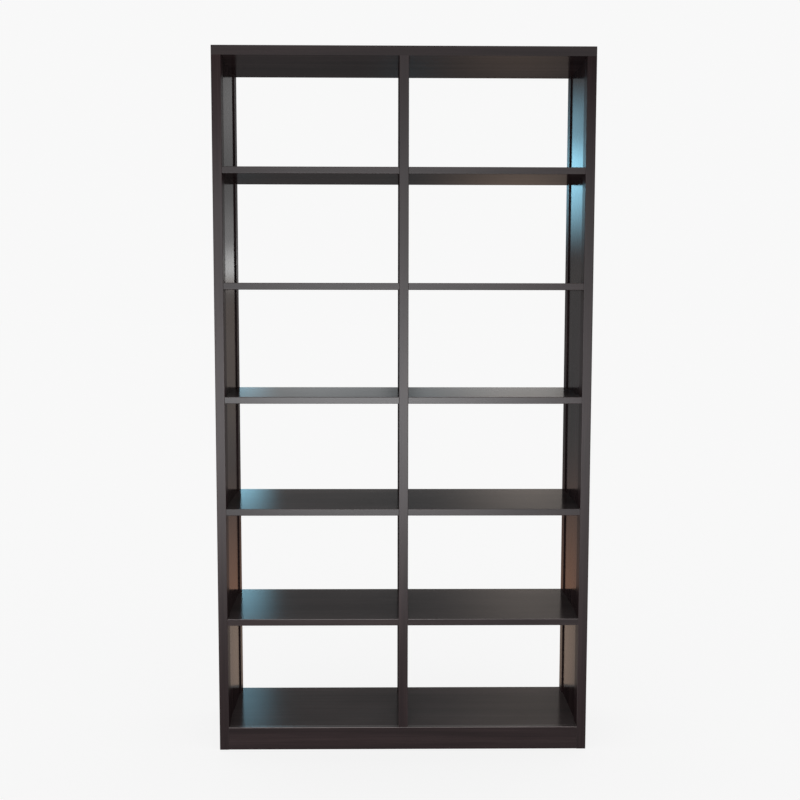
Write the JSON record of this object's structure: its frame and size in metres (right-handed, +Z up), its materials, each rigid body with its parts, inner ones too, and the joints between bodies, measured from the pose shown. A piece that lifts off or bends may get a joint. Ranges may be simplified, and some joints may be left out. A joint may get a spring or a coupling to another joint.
{
  "type": "bookcase",
  "caption": "Tall open-backed bookcase in dark lacquered wood: stile-and-panel uprights, a middle divider, fixed shelves, a flush top and a plinth.",
  "frame": {"origin": "on the floor, under the middle of the bookcase", "axes": "+X to the right seen from the front, +Y from the front to the back, +Z up"},
  "size_m": [1, 0.32, 1.88],
  "materials": {
    "dark_lacquered_wood": "black-brown stain under clear semi-gloss lacquer",
    "plain_softwood": "planed, unfinished",
    "plain_beech": "turned, unfinished"
  },
  "bodies": {
    "root": {"stile_front_left": "dark_lacquered_wood", "stile_rear_left": "dark_lacquered_wood", "panel_left": "dark_lacquered_wood", "stile_front_centre": "dark_lacquered_wood", "stile_rear_centre": "dark_lacquered_wood", "panel_centre": "dark_lacquered_wood", "stile_front_right": "dark_lacquered_wood", "stile_rear_right": "dark_lacquered_wood", "panel_right": "dark_lacquered_wood", "shelf_left_1": "dark_lacquered_wood", "shelf_left_2": "dark_lacquered_wood", "shelf_left_3": "dark_lacquered_wood", "shelf_left_4": "dark_lacquered_wood", "shelf_left_5": "dark_lacquered_wood", "shelf_right_1": "dark_lacquered_wood", "shelf_right_2": "dark_lacquered_wood", "shelf_right_3": "dark_lacquered_wood", "shelf_right_4": "dark_lacquered_wood", "shelf_right_5": "dark_lacquered_wood", "top_board": "dark_lacquered_wood", "bottom_board": "dark_lacquered_wood", "plinth_front": "dark_lacquered_wood", "plinth_rear": "dark_lacquered_wood", "plinth_centre": "plain_softwood", "plinth_glue_blocks": "plain_softwood", "top_dowels": "plain_beech", "divider_foot_dowels": "plain_beech", "plinth_dowels": "plain_beech"}
  },
  "joints": []
}
